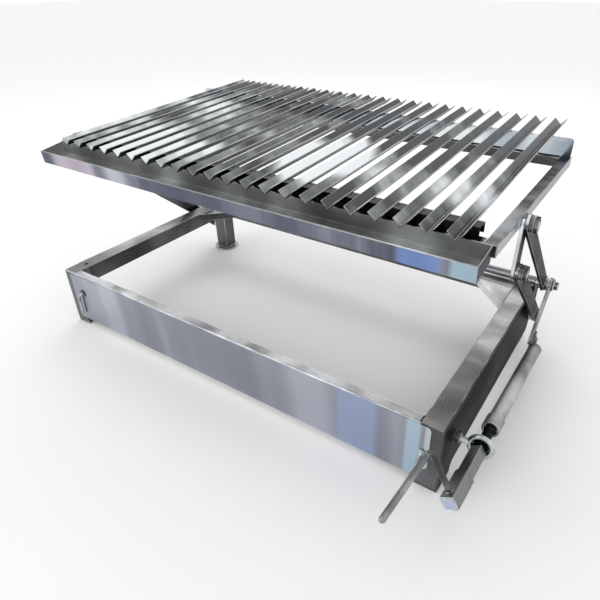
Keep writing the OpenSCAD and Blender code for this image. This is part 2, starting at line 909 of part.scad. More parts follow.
// The draw tube's closed end, and the ear whose opening holds the lever's pin.
module draw_yoke() {
  r = lever_pin_d / 2;
  end = line_length - tube_end_gap;
  color(satin) placed() on_line() {
    bar_y(0, end, 0, cap_thick, draw_tube_d);
    translate([0, end + cap_thick, 0]) rotate([-90, 0, 0])
      cylinder(d1 = draw_tube_d, d2 = draw_tube_d - dome_length, h = dome_length / 2);
    translate([ear_x - drive_x, end, 0]) difference() {
      translate([0, 0, -r - pin_below - ear_wall])
        cube([ear_thick, tube_end_gap + r + pin_behind + ear_wall,
          2 * r + pin_below + pin_above + 2 * ear_wall]);
      translate([-1, tube_end_gap - r - pin_ahead, -r - pin_below])
        cube([ear_thick + 2, 2 * r + pin_ahead + pin_behind, 2 * r + pin_below + pin_above]);
    }
  }
}

module screw_rod() {
  color(dark) placed() on_line()
    bar_y(0, -bush_half - bush_gap, 0, bush_half + bush_gap + screw_length, screw_d);
}

module thrust_collar() {
  color(steel) placed() on_line() difference() {
    bar_y(0, bush_half + side_play, 0, thrust_thick, 1.4 * screw_d);
    bar_y(0, 0, 0, 30, screw_d);
  }
}

// Things that turn with the crank, drawn with the handle's arm straight up.
module on_crank() {
  on_line() rotate([0, -crank_turn, 0]) children();
}

module crank_shaft() {
  back = -bush_half - bush_gap;
  color(steel) placed() on_crank() translate([0, back, 0]) rotate([90, 0, 0])
    linear_extrude(back + crank_length) translate(-[crank_square, crank_square] / 2)
      round_rect([crank_square, crank_square], 2);
}

module crank_sleeve() {
  color(steel) placed() on_crank() translate([0, sleeve_length - crank_length, 0])
    rotate([90, 0, 0]) linear_extrude(sleeve_length) difference() {
      translate(-[sleeve_square, sleeve_square] / 2)
        round_rect([sleeve_square, sleeve_square], 2.5);
      translate(-[crank_square, crank_square] / 2)
        round_rect([crank_square, crank_square], 2);
    }
}

// The handle's arm stands up from the sleeve and bends forward.
module crank_handle() {
  base = sleeve_square / 2;
  color(bright) placed() on_crank() translate([0, handle_y, 0]) {
    translate([0, 0, base]) cylinder(d = handle_d, h = handle_reach - bend_r - base);
    translate([0, -bend_r, handle_reach - bend_r]) rotate([90, 0, 90])
      rotate_extrude(angle = 90 - grip_splay) translate([bend_r, 0]) circle(d = handle_d);
  }
}

// The grip is the same rod, straight on towards the cook, with a rounded end.
module crank_grip() {
  color(bright) placed() on_crank()
    translate([0, handle_y - bend_r, handle_reach - bend_r]) rotate([90, 0, 90])
      rotate(90 - grip_splay) translate([bend_r, 0, 0]) rotate([-90, 0, 0]) {
        cylinder(d = handle_d, h = grip_length);
        translate([0, 0, grip_length]) sphere(d = handle_d);
      }
}

base_left_rail();
base_right_rail();
base_front_tube();
base_rear_tube();
gusset_left();
gusset_right();
front_left_leg();
front_right_leg();
rear_left_leg();
rear_right_leg();
rear_left_foot();
rear_right_foot();
front_left_glide();
front_right_glide();
side_cheek();
front_panel();
left_upright();
right_upright();
left_base_pin();
right_base_pin();
eye_bolt();
eye_bolt_nut();
left_latch();
right_latch();
lift_shaft();
left_upper_arm();
right_upper_arm();
lift_lever();
lever_hub();
lever_pin();
shaft_end_nuts();
left_lower_arm();
right_lower_arm();
grate_left_rail();
grate_right_rail();
grate_front_bar();
grate_rear_bar();
back_plate();
drip_trough();
left_hanger();
right_hanger();
left_bolts();
right_bolts();
left_nuts();
right_nuts();
v_bars();
bar_comb();
eye_bush();
draw_tube();
draw_nut();
draw_yoke();
screw_rod();
thrust_collar();
crank_shaft();
crank_sleeve();
crank_handle();
crank_grip();
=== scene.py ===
import json
import math
import bmesh
import bpy
from mathutils import Matrix, Vector

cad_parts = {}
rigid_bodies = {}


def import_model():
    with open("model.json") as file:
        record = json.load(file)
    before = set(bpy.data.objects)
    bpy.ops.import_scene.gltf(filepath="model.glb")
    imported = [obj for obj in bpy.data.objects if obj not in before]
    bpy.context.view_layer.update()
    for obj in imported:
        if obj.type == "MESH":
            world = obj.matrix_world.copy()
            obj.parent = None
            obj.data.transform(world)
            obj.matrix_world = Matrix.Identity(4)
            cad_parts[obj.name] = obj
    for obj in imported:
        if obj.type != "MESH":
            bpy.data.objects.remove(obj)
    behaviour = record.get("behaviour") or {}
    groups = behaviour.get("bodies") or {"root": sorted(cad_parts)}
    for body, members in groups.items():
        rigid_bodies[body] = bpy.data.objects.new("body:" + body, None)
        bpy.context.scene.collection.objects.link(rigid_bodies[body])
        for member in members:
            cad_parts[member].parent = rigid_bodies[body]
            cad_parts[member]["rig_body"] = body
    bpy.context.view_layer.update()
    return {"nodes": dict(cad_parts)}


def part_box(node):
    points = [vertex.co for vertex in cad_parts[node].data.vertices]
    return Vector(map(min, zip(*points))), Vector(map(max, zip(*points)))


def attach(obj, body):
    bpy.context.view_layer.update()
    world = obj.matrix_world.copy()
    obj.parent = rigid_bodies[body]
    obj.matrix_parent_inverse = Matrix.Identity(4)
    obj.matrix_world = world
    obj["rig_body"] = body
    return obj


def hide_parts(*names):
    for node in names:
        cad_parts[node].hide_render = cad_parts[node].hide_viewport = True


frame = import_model()


# The base frame: two side rails and a rear tube of square stainless tube, and a flatter
# tube behind the front panel. Cold-rolled tube has softly rounded corners. The welds are
# ground flush. The tops and the front face are painted lighter and the sides darker, as
# painted light and shade.

class Value:
    """One value in a material's wiring, so that shader maths reads as arithmetic."""

    def __init__(self, wiring, socket):
        self.wiring = wiring
        self.socket = socket

    def _maths(self, operation, left, right):
        return self.wiring.add("ShaderNodeMath", {"operation": operation}, [left, right])

    def __add__(self, other):
        return self._maths("ADD", self, other)

    __radd__ = __add__

    def __sub__(self, other):
        return self._maths("SUBTRACT", self, other)

    def __rsub__(self, other):
        return self._maths("SUBTRACT", other, self)

    def __mul__(self, other):
        return self._maths("MULTIPLY", self, other)

    __rmul__ = __mul__


class Wiring:
    """The nodes of a material or of the surround, added one at a time."""

    def __init__(self, owner):
        self.owner = owner
        owner.use_nodes = True
        self.tree = owner.node_tree

    def add(self, kind, settings=None, inputs=(), output=0):
        """Adds a node with its settings and the values or links of its sockets."""
        node = self.tree.nodes.new(kind)
        for key, value in (settings or {}).items():
            if key == "stops":
                ramp = node.color_ramp
                while len(ramp.elements) < len(value):
                    ramp.elements.new(0.5)
                for element, (place, colour) in zip(ramp.elements, value):
                    element.position = place
                    element.color = colour
            else:
                setattr(node, key, value)
        pairs = inputs.items() if isinstance(inputs, dict) else enumerate(inputs)
        for key, value in pairs:
            self.feed(node.inputs[key], value)
        return Value(self, node.outputs[output])

    def feed(self, socket, value):
        if isinstance(value, Value):
            self.tree.links.new(value.socket, socket)
        else:
            socket.default_value = value

    def noise(self, place, stretch, detail=3.0, roughness=0.5):
        """Noise with as many swells a metre along each axis as stretch says."""
        spot = self.add("ShaderNodeVectorMath", {"operation": "MULTIPLY"}, [place, stretch])
        return self.add("ShaderNodeTexNoise", {}, {"Vector": spot, "Scale": 1.0,
                                                   "Detail": detail, "Roughness": roughness})

    def fade(self, value, start, end):
        """Goes softly from 0 to 1 while a value goes from start to end."""
        return self.add("ShaderNodeMapRange", {"interpolation_type": "SMOOTHSTEP"},
                        [value, start, end, 0.0, 1.0])

    def axes(self, place):
        """The X, Y and Z of a place."""
        split = self.add("ShaderNodeSeparateXYZ", {}, [place])
        return [Value(self, socket) for socket in split.socket.node.outputs]

    def surface(self, **inputs):
        shader = self.tree.nodes["Principled BSDF"]
        for key, value in inputs.items():
            self.feed(shader.inputs[key.replace("_", " ")], value)
        return self.owner


def grey(level, warmth=0.0):
    return (level * (1 + warmth), level, level * (1 - warmth), 1.0)


def greys(dark, middle, light, warmth=-0.015):
    return [grey(dark, warmth), grey(middle, warmth), grey(light, warmth)]


def worked_steel(name, tones, rough, along="Y", patch=(9, 9, 9), turn=0.0, grain=0.25,
                 spread=0.13, graze=1.0):
    """Stainless with a grain along one axis and soft patches from dark to light, which may
    both be turned about X. The patches stand partly for the steel's own uneven tone and
    partly for painted reflections. A wider spread makes the patches run softer into each other.
    Graze is how much of its brightness at a low angle it keeps, which dull skins lose."""
    w = Wiring(bpy.data.materials.new(name))
    place = w.add("ShaderNodeTexCoord", output="Object")
    place = w.add("ShaderNodeMapping", {}, {"Vector": place, "Rotation": (-turn, 0, 0)})
    across_grain, with_grain, grain_depth = 900, 4, 0.00006
    lines = w.noise(place, [with_grain if axis == along else across_grain for axis in "XYZ"])
    cloud = w.noise(place, patch, roughness=0.45)
    stops = [(0.5 - spread, tones[0]), (0.5, tones[1]), (0.5 + spread, tones[2])]
    shade = w.add("ShaderNodeValToRGB", {"stops": stops}, [0.88 * cloud + 0.12 * lines])
    hair = w.add("ShaderNodeBump", {}, {"Strength": grain, "Distance": grain_depth,
                                        "Height": lines})
    return w.surface(Base_Color=shade, Metallic=1.0, Normal=hair, Specular_Tint=grey(graze),
                     Roughness=rough + 0.12 * (cloud - 0.5) + 0.08 * (lines - 0.5))


cad = frame["nodes"]


def piece_of(name, shape, finishes, body, node=None):
    """Makes an object of a bmesh, rides it on its body, and lets it stand for a node."""
    crease = math.radians(40)
    mesh = bpy.data.meshes.new(name)
    shape.to_mesh(mesh)
    shape.free()
    for finish in finishes:
        mesh.materials.append(finish)
    mesh.set_sharp_from_angle(angle=crease)
    piece = bpy.data.objects.new(name, mesh)
    bpy.context.scene.collection.objects.link(piece)
    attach(piece, body)
    if node:
        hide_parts(node)
    return piece


def soften(shape, edges, offset, segments=2):
    """Bevels edges and gives back the new faces."""
    return bmesh.ops.bevel(shape, geom=edges, offset=offset, offset_type="OFFSET",
                           segments=segments, profile=0.5, affect="EDGES",
                           clamp_overlap=True, material=-1)["faces"]


def eased_copy(node, ease, finish, facing=(), edge=None, seams=(), narrow=0.0, cut=None):
    """A copy of a CAD piece with eased edges. Facing gives other finishes by direction,
    beyond a distance that way if it names one. An edge on a seam, given as an axis number
    and a place, stays sharp. Strips narrower than narrow get the edge's finish. A cut is a
    point and an outward direction, beyond which the piece is taken off."""
    same_spot, on_seam = 0.00002, 0.0003
    flat_angle, sharp_angle = math.radians(1), math.radians(35)
    facing_share, big_face_weight = 0.75, 80
    shape = bmesh.new()
    shape.from_mesh(cad[node].data)
    bmesh.ops.remove_doubles(shape, verts=shape.verts, dist=same_spot)
    bmesh.ops.dissolve_limit(shape, angle_limit=flat_angle, verts=shape.verts,
                             edges=shape.edges)
    if cut:
        point, way_out = cut
        made = bmesh.ops.bisect_plane(shape, geom=[*shape.verts, *shape.edges, *shape.faces],
                                      plane_co=point, plane_no=way_out, clear_outer=True)
        rim = [g for g in made["geom_cut"] if isinstance(g, bmesh.types.BMEdge)]
        bmesh.ops.contextual_create(shape, geom=rim)
    rounded = set()
    if ease:
        sharp = [e for e in shape.edges if len(e.link_faces) == 2
                 and e.calc_face_angle(0) > sharp_angle
                 and not any(all(abs(v.co[axis] - place) < on_seam for v in e.verts)
                             for axis, place in seams)]
        rounded = set(soften(shape, sharp, ease))
    # Faces take their finish by the way they face, which paints them lighter or darker as
    # painted light and shade; eased edges and narrow strips take the edge finish, mostly a
    # painted highlight.
    finishes = [finish] + [side[1] for side in facing] + ([edge] if edge else [])
    for face in shape.faces:
        face.smooth = True
        face.material_index = 0
        longest = max(e.calc_length() for e in face.edges)
        if edge and (face in rounded or face.calc_area() < narrow * longest):
            face.material_index = len(finishes) - 1
            continue
        for number, (toward, _, *beyond) in enumerate(facing):
            way = Vector(toward).normalized()
            if face.normal.dot(way) > facing_share and (
                    not beyond or face.calc_center_median().dot(way) > beyond[0]):
                face.material_index = number + 1
                break
    piece = piece_of(node + "_finished", shape, finishes, cad[node]["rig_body"], node)
    shading = piece.modifiers.new("even shading", "WEIGHTED_NORMAL")
    shading.keep_sharp = True
    shading.weight = big_face_weight
    return piece


up, toward_cook = (0, 0, 1), (0, -1, 0)
tube_corner = 0.002
# The eased edges are painted lighter than the faces: painted highlights.
bright_edge_highlight = worked_steel("painted edge highlight", greys(0.4, 0.6, 0.85), 0.24, patch=(30, 30, 30))
dim_edge_highlight = worked_steel("dim painted edge light", greys(0.14, 0.22, 0.36), 0.28, patch=(30, 30, 30))
# The tops and the front tube's face are painted lighter than the sides: painted light and
# shade.
shaded_rail_side = worked_steel("rail side", greys(0.05, 0.085, 0.14), 0.3, "Y", patch=(8, 8, 8),
                         graze=0.5)
lit_rail_top_left = worked_steel("left rail top, painted light", greys(0.12, 0.24, 0.5), 0.3, "Y", patch=(10, 6, 9))
lit_rail_top_right = worked_steel("right rail top, painted light", greys(0.15, 0.23, 0.44, 0.01), 0.3, "Y",
                         patch=(7, 15, 7), spread=0.16)
lit_tube_top = worked_steel("top of the front tube, painted light", greys(0.16, 0.6, 0.95, -0.02), 0.3, "X",
                         patch=(11, 9, 9), spread=0.15)
lit_tube_face = worked_steel("face of the front tube, painted light", greys(0.55, 0.8, 0.95), 0.3, "X", patch=(8, 8, 8))
rear_tube = worked_steel("rear tube", greys(0.1, 0.16, 0.26), 0.3, "X")
left_low, left_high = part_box("base_left_rail")
right_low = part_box("base_right_rail")[0]
front_seam, rear_seam = (1, left_low.y), (1, left_high.y)
left_seam, right_seam = (0, left_high.x), (0, right_low.x)
eased_copy("base_left_rail", tube_corner, shaded_rail_side, [(up, lit_rail_top_left)], bright_edge_highlight,
           [front_seam, rear_seam])
eased_copy("base_right_rail", tube_corner, shaded_rail_side, [(up, lit_rail_top_right)], dim_edge_highlight,
           [front_seam, rear_seam])
eased_copy("base_front_tube", tube_corner, shaded_rail_side,
           [(up, lit_tube_top), (toward_cook, lit_tube_face)], bright_edge_highlight, [left_seam, right_seam])
eased_copy("base_rear_tube", tube_corner, rear_tube, [(up, lit_tube_top)], bright_edge_highlight,
           [left_seam, right_seam])


# The corner behind the front right leg was cut a little short, which leaves a slot
# in the top, beside the weld. A nearly black piece in it is painted shadow.

slot_size, slot_corner = (0.0028, 0.016, 0.0016), 0.0003
slot_place = (right_low.x - 0.001, left_low.y - 0.030, left_high.z - 0.0006)
joint_shadow = worked_steel("shadow in the joint", greys(0.004, 0.008, 0.012), 0.7)
shape = bmesh.new()
bmesh.ops.create_cube(shape, size=1.0, matrix=Matrix.Translation(slot_place)
                      @ Matrix.Diagonal((*slot_size, 1)))
soften(shape, shape.edges, slot_corner, segments=1)
piece_of("corner_slot", shape, [joint_shadow], "base")


# The rear corner gussets: triangles of sheet with a folded lip, welded into the
# corners flush with the tubes. Their tops and lips are painted lighter than their sides:
# painted light and painted highlight.

lit_gusset_top = worked_steel("gusset top, painted light", greys(0.22, 0.34, 0.6), 0.24, "X", patch=(9, 9, 9))
lit_gusset_lip = worked_steel("lip of the gusset, painted highlight", greys(0.6, 0.8, 0.95), 0.3, "Z", patch=(9, 9, 9))
sheet_corner = 0.0007
eased_copy("gusset_left", sheet_corner, shaded_rail_side, [(up, lit_gusset_top)], bright_edge_highlight)
eased_copy("gusset_right", sheet_corner, shaded_rail_side,
           [(up, lit_gusset_top), ((-1, -1, 0), lit_gusset_lip)], bright_edge_highlight)


# The legs: square tube, welded under the frame. The front pair stands on moulded plastic
# glides, and the rear pair is welded to round foot discs.

def moulded(name, colour, rough):
    """Plastic with a fine skin, a little paler in places."""
    w = Wiring(bpy.data.materials.new(name))
    place = w.add("ShaderNodeTexCoord", output="Object")
    pores = w.noise(place, (900, 900, 900))
    cloud = w.noise(place, (30, 30, 30), detail=2.0)
    paler = tuple(1.8 * c for c in colour[:3]) + (1.0,)
    shade = w.add("ShaderNodeValToRGB", {"stops": [(0.3, colour), (0.7, paler)]}, [cloud])
    skin = w.add("ShaderNodeBump", {}, {"Strength": 0.3, "Distance": 0.0002, "Height": pores})
    return w.surface(Base_Color=shade, Metallic=0.0, Normal=skin, Roughness=rough + 0.1 * pores)


def sweep(shape, path, radius, sides, ripple=0.0):
    """A round rod, or a rippled weld bead, drawn through the points of a path."""
    spots = [Vector(p) for p in path]
    loop = set(bmesh.ops.create_circle(shape, segments=sides, radius=1.0)["verts"])
    rim = [e for e in shape.edges if e.verts[0] in loop and e.verts[1] in loop]
    rings, last = [], Matrix.Identity(4)
    for number, spot in enumerate(spots):
        after = spots[min(number + 1, len(spots) - 1)]
        before = spots[max(number - 1, 0)]
        size = radius * (1 + ripple * (1 if number % 2 else -1))
        place = (Matrix.Translation(spot)
                 @ (after - before).to_track_quat("Z", "Y").to_matrix().to_4x4()
                 @ Matrix.Scale(size, 4))
        if number:
            grown = bmesh.ops.extrude_edge_only(shape, edges=rim)["geom"]
            loop = {g for g in grown if isinstance(g, bmesh.types.BMVert)}
            rim = [g for g in grown if isinstance(g, bmesh.types.BMEdge)
                   and all(v in loop for v in g.verts)]
        bmesh.ops.transform(shape, matrix=place @ last.inverted(), verts=list(loop))
        last = place
        rings.append(rim)
    for ring in (rings[0], rings[-1]):
        bmesh.ops.contextual_create(shape, geom=ring)
    bmesh.ops.recalc_face_normals(shape, faces=shape.faces)
    for face in shape.faces:
        face.smooth = True


bead_step = 0.0011


def line_path(start, end, step=bead_step):
    start, end = Vector(start), Vector(end)
    count = max(2, round((end - start).length / step))
    return [start.lerp(end, i / count) for i in range(count + 1)]


def ring_path(centre, radius, first, second, count, place=Matrix.Identity(4)):
    """Points round a circle, from a first direction towards a second."""
    angles = [2 * math.pi * i / count for i in range(count + 1)]
    return [place @ (Vector(centre) + radius * (math.cos(a) * Vector(first)
                                                + math.sin(a) * Vector(second)))
            for a in angles]


weld_steel = worked_steel("weld bead", [(0.10, 0.09, 0.08, 1), (0.26, 0.25, 0.25, 1),
                                        (0.5, 0.5, 0.52, 1)], 0.32, patch=(220, 220, 220))


def weld(name, body, paths, thick):
    """Weld beads along paths, with the small swells of a hand-laid bead."""
    shape = bmesh.new()
    for path in paths:
        sweep(shape, path, thick / 2, sides=8, ripple=0.12)
    return piece_of(name, shape, [weld_steel], body)


# Each leg is coloured for the light on it: the rear legs darkest as painted shade, and the
# front legs' tops lighter as painted light.
leg_front_left = worked_steel("front left leg", greys(0.09, 0.13, 0.2, -0.06), 0.3, "Z",
                              patch=(8, 8, 5))
leg_front_right = worked_steel("front right leg", greys(0.08, 0.14, 0.25, -0.04), 0.3, "Z",
                               patch=(8, 8, 7), graze=0.5)
shaded_rear_leg = worked_steel("rear leg", greys(0.06, 0.09, 0.14), 0.3, "Z", patch=(8, 8, 7))
foot_steel = worked_steel("foot disc", greys(0.2, 0.3, 0.42), 0.3, "X")
black_plastic = moulded("black plastic", grey(0.02), 0.5)
leg_seams = [front_seam, left_seam, right_seam]
glide_corner, foot_corner, tube_bead = 0.001, 0.0008, 0.003
eased_copy("front_left_leg", tube_corner, leg_front_left, [(up, lit_rail_top_left)], bright_edge_highlight,
           leg_seams)
eased_copy("front_right_leg", tube_corner, leg_front_right, [(up, lit_rail_top_right)], dim_edge_highlight,
           leg_seams)
for leg in ("rear_left_leg", "rear_right_leg"):
    eased_copy(leg, tube_corner, shaded_rear_leg, (), bright_edge_highlight)
for glide in ("front_left_glide", "front_right_glide"):
    eased_copy(glide, glide_corner, black_plastic)
for side in ("left", "right"):
    eased_copy("rear_" + side + "_foot", foot_corner, foot_steel, (), bright_edge_highlight)
    low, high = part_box("rear_" + side + "_leg")
    corners = [(low.x, low.y), (high.x, low.y), (high.x, high.y), (low.x, high.y)]
    weld("rear_" + side + "_foot_weld", "base",
         [line_path((*corners[i - 1], low.z), (*corners[i], low.z)) for i in range(4)],
         tube_bead)


# The plate on the right side carries the eye bolt and screens the fire. It is dull sheet,
# plasma cut along the ground and welded to the rail's outer side. Its dark colour is painted
# shade.

cheek_corner = 0.0006
shaded_plate = worked_steel("plate, painted shade", greys(0.08, 0.115, 0.17, -0.06), 0.36, "Y",
                          patch=(5, 5, 9), graze=0.3)
eased_copy("side_cheek", cheek_corner, shaded_plate)


# The front panel is a plain polished sheet with round corners, hung on two latches. Its
# lower right corner is cut off. It is brushed upright, and it is painted lighter and darker
# in broad upright bands, with coloured tints near its right end: painted reflections.

def banded_sheet(name, tones, tints, rough, bands):
    """Polished sheet in upright bands that lean a little, as many a metre as bands says: the
    bands are painted reflections. Each tint is a colour between two places along X, a painted
    reflection too."""
    lean, rise, tint_share, soft_share, hair_depth = 0.12, 0.6, 0.75, 0.6, 0.00004
    w = Wiring(bpy.data.materials.new(name))
    place = w.add("ShaderNodeTexCoord", output="Object")
    along, _, height = w.axes(place)
    spread_out = w.add("ShaderNodeCombineXYZ", {},
                       [bands * (along + lean * height), 0.0, rise * height])
    band = w.noise(spread_out, (1, 1, 1), detail=2.5, roughness=0.4)
    lines = w.noise(place, (1200, 3, 9), detail=2.0)
    stops = [(0.36, tones[0]), (0.5, tones[1]), (0.62, tones[2])]
    shade = w.add("ShaderNodeValToRGB", {"stops": stops}, [0.9 * band + 0.1 * lines])
    for tint, start, end in tints:
        middle, half = (start + end) / 2, (end - start) / 2
        off = w.add("ShaderNodeMath", {"operation": "ABSOLUTE"}, [along - middle])
        shade = w.add("ShaderNodeMix", {"data_type": "RGBA"},
                      {"Factor": tint_share * w.fade(off, half, half * soft_share),
                       "A": shade, "B": tint}, output=2)
    hair = w.add("ShaderNodeBump", {}, {"Strength": 0.1, "Distance": hair_depth,
                                        "Height": lines})
    return w.surface(Base_Color=shade, Metallic=1.0, Normal=hair,
                     Roughness=rough + 0.1 * (band - 0.5))


thin_corner = 0.0005
panel_low, panel_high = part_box("front_panel")
panel_face, panel_end = panel_low.y, panel_high.x
panel_reflections = banded_sheet(
    "panel, painted reflections", [(0.24, 0.25, 0.30, 1), (0.33, 0.345, 0.40, 1), (0.47, 0.49, 0.56, 1)],
    [((0.38, 0.45, 0.66, 1), panel_end - 0.19, panel_end - 0.09),
     ((0.5, 0.66, 0.78, 1), panel_end - 0.047, panel_end - 0.015),
     ((0.62, 0.72, 0.68, 1), panel_end - 0.012, panel_end + 0.012)], 0.24, 7.0)
# The sheets' rims are painted lighter than their faces: painted highlight.
sheet_rim_highlight = worked_steel("sheet rim, painted highlight", greys(0.6, 0.8, 0.95), 0.2, "X", patch=(8, 8, 8))
corner_cut = 0.032
cut_middle = (panel_end - corner_cut / 2, panel_face, panel_low.z + corner_cut / 2)
eased_copy("front_panel", thin_corner, panel_reflections, (), sheet_rim_highlight,
           cut=(cut_middle, (1, 0, -1)))


# The latches: 6 mm rod bent by hand, with a pressed washer against the panel, bright
# plated. The left one ends in a flat tail behind the panel.

plated = worked_steel("plated steel", greys(0.2, 0.42, 0.75), 0.22, "Z", grain=0.05,
                      patch=(60, 60, 60), spread=0.2)
zinc = worked_steel("zinc plated steel", [(0.25, 0.3, 0.32, 1), (0.5, 0.57, 0.6, 1),
                                          (0.75, 0.82, 0.85, 1)], 0.25, grain=0.05,
                    patch=(70, 70, 70), spread=0.2)
# The left latch's washer is coloured darker than the right one's.
darker_washer = worked_steel("darker washer", greys(0.04, 0.1, 0.24), 0.3, patch=(90, 90, 90))
rod_radius, rod_fit, rod_bend, rod_sides = 0.003, 0.98, 0.006, 14
latch_seat, rod_inset, elbow_drop, knee_drop = 0.0095, 0.004, 0.005, 0.009
washer_thick, washer_sides = 0.0015, 32
tail_width, tail_thick, tail_height, tail_rise = 0.012, 0.003, 0.034, 0.006
for side, drop, knee_out, tip_out, washer_radius, washer_steel in (
        ("left", 0.023, 0.0107, 0.0147, 0.0093, darker_washer),
        ("right", latch_seat, 0.003, 0.008, 0.006, zinc)):
    node = side + "_latch"
    low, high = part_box(node)
    rod_y, latch_x, latch_z = low.y + rod_radius, high.x - latch_seat, high.z - drop
    elbow = Vector((latch_x - 0.56 * knee_out, rod_y, latch_z - elbow_drop))
    knee = Vector((latch_x - knee_out, rod_y, latch_z - knee_drop))
    tip = Vector((latch_x - tip_out, rod_y, low.z + rod_radius))
    path = line_path((latch_x, high.y - rod_inset, latch_z),
                     (latch_x, rod_y + rod_bend, latch_z), step=0.004)
    for degrees in range(15, 90, 15):
        bent = math.radians(degrees)
        path.append((latch_x - 0.3 * knee_out * (1 - math.cos(bent)),
                     rod_y + rod_bend * (1 - math.sin(bent)),
                     latch_z - 0.7 * rod_bend * (1 - math.cos(bent))))
    path += [elbow, knee, knee.lerp(tip, 0.12), knee.lerp(tip, 0.5), tip]
    shape = bmesh.new()
    sweep(shape, path, rod_radius * rod_fit, rod_sides)
    rod_faces = set(shape.faces)
    bmesh.ops.create_cone(
        shape, cap_ends=True, segments=washer_sides, radius1=washer_radius,
        radius2=washer_radius, depth=washer_thick,
        matrix=Matrix.Translation((latch_x, panel_face - washer_thick, latch_z))
        @ Matrix.Rotation(math.pi / 2, 4, "X"))
    if side == "left":
        tail_place = (latch_x, high.y - tail_thick / 2, latch_z + tail_rise)
        bmesh.ops.create_cube(shape, size=1.0, matrix=Matrix.Translation(tail_place)
                              @ Matrix.Diagonal((tail_width, tail_thick, tail_height, 1)))
    for face in set(shape.faces) - rod_faces:
        face.material_index = 1
    piece_of(node + "_rod", shape, [zinc, washer_steel], node, node)


# The uprights: flat bar welded on the frame's outer sides, with turned bosses for the
# lift shaft and for the pins of the lower arms.

flat_corner, pin_corner, weld_margin = 0.0007, 0.001, 0.002
# The flat bar's faces are painted dark as painted shade, and its edges towards the cook light
# as a painted highlight.
bar_rim_highlight = worked_steel("bar rim, painted highlight", greys(0.45, 0.72, 0.95, -0.03), 0.25, "Z",
                        patch=(14, 14, 8))
shaded_upright_face = worked_steel("upright", greys(0.04, 0.08, 0.15, -0.03), 0.32, "Z",
                            patch=(20, 20, 12), graze=0.3)
for side in ("left", "right"):
    eased_copy(side + "_upright", flat_corner, shaded_upright_face, [(toward_cook, bar_rim_highlight)],
               bright_edge_highlight)
    eased_copy(side + "_base_pin", pin_corner, plated)
    low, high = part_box(side + "_upright")
    wall = low.x if side == "right" else high.x
    weld(side + "_upright_weld", "base",
         [line_path((wall, y, left_low.z + weld_margin), (wall, y, left_high.z - weld_margin))
          for y in (low.y, left_high.y - weld_margin)], tube_bead)


# The arms: 30 mm flat bar with round ends, on one shaft across the grill. The lever for
# the screw is welded to a hub on the shaft's right end.

arm_slope, lever_slope = math.radians(40.3), math.radians(46)
# The arms' upper edges are painted lighter as painted light, and their undersides darker as
# painted shade.
arm_face = worked_steel("arm face", greys(0.1, 0.15, 0.23, -0.04), 0.32, "Y",
                        turn=-arm_slope, patch=(20, 12, 20), graze=0.3)
lit_arm_edge = worked_steel("arm's upper edge, painted light", greys(0.3, 0.5, 0.75, -0.03), 0.25, "Y",
                        turn=-arm_slope, patch=(14, 10, 14))
arm_shade = worked_steel("arm's underside, painted shade", greys(0.04, 0.07, 0.12, -0.03), 0.32, "Y",
                         turn=-arm_slope, patch=(14, 10, 14), graze=0.4)
arm_up = Vector((0, -math.sin(arm_slope), math.cos(arm_slope)))
for arm in ("left_upper_arm", "right_upper_arm", "left_lower_arm", "right_lower_arm"):
    eased_copy(arm, flat_corner, arm_face, [(arm_up, lit_arm_edge), (-arm_up, arm_shade)],
               dim_edge_highlight)
shaft_steel = worked_steel("turned shaft", greys(0.12, 0.3, 0.62), 0.24, "X",
                           patch=(3, 60, 60), spread=0.18)
# The lever's edges and its face towards the cook and up are painted lighter: painted highlight.
lever_face = worked_steel("lever face", greys(0.08, 0.16, 0.3), 0.28, "Z", turn=lever_slope,
                          patch=(12, 12, 12), graze=0.5)
lever_rim_highlight = worked_steel("lever rim, painted highlight", greys(0.32, 0.5, 0.66), 0.28, patch=(14, 14, 14))
pin_dark = worked_steel("lever pin", greys(0.03, 0.07, 0.2), 0.28, patch=(60, 60, 60))
turned_corner, lever_corner, hub_bead = 0.001, 0.0008, 0.0028
eased_copy("lift_shaft", turned_corner, shaft_steel, (), bright_edge_highlight)
eased_copy("lever_hub", turned_corner, plated, (), bright_edge_highlight)
eased_copy("lift_lever", lever_corner, lever_face, [((0, -1, 1), lever_rim_highlight)], lever_rim_highlight)
eased_copy("lever_pin", lever_corner, pin_dark, (), dim_edge_highlight)
hub_low, hub_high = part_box("lever_hub")
hub_middle = (hub_low + hub_high) / 2
bead_centre = (hub_low.x + 0.0003, hub_middle.y, hub_middle.z)
bead_radius = (hub_high.z - hub_low.z) / 2 - 0.0004
bead_count = round(2 * math.pi * bead_radius / bead_step)
weld("lever_hub_weld", "lift_arms",
     [ring_path(bead_centre, bead_radius, (0, 1, 0), (0, 0, 1), bead_count)], hub_bead)


# Nuts and collars are turned from bar: a collar with a groove, and a hexagon with its
# corners taken off. The studs' ends stand a little short of the nuts' faces.

def turned(shape, centre, outline, steps=40):
    """A ring about X, spun from an outline of places along X and radii."""
    spots = [shape.verts.new(Vector(centre) + Vector((x, 0, r))) for x, r in outline]
    rim = [shape.edges.new((spots[i - 1], spots[i])) for i in range(len(spots))]
    bmesh.ops.spin(shape, geom=spots + rim, cent=centre, axis=(1, 0, 0),
                   angle=2 * math.pi, steps=steps, use_merge=True, use_duplicate=False)


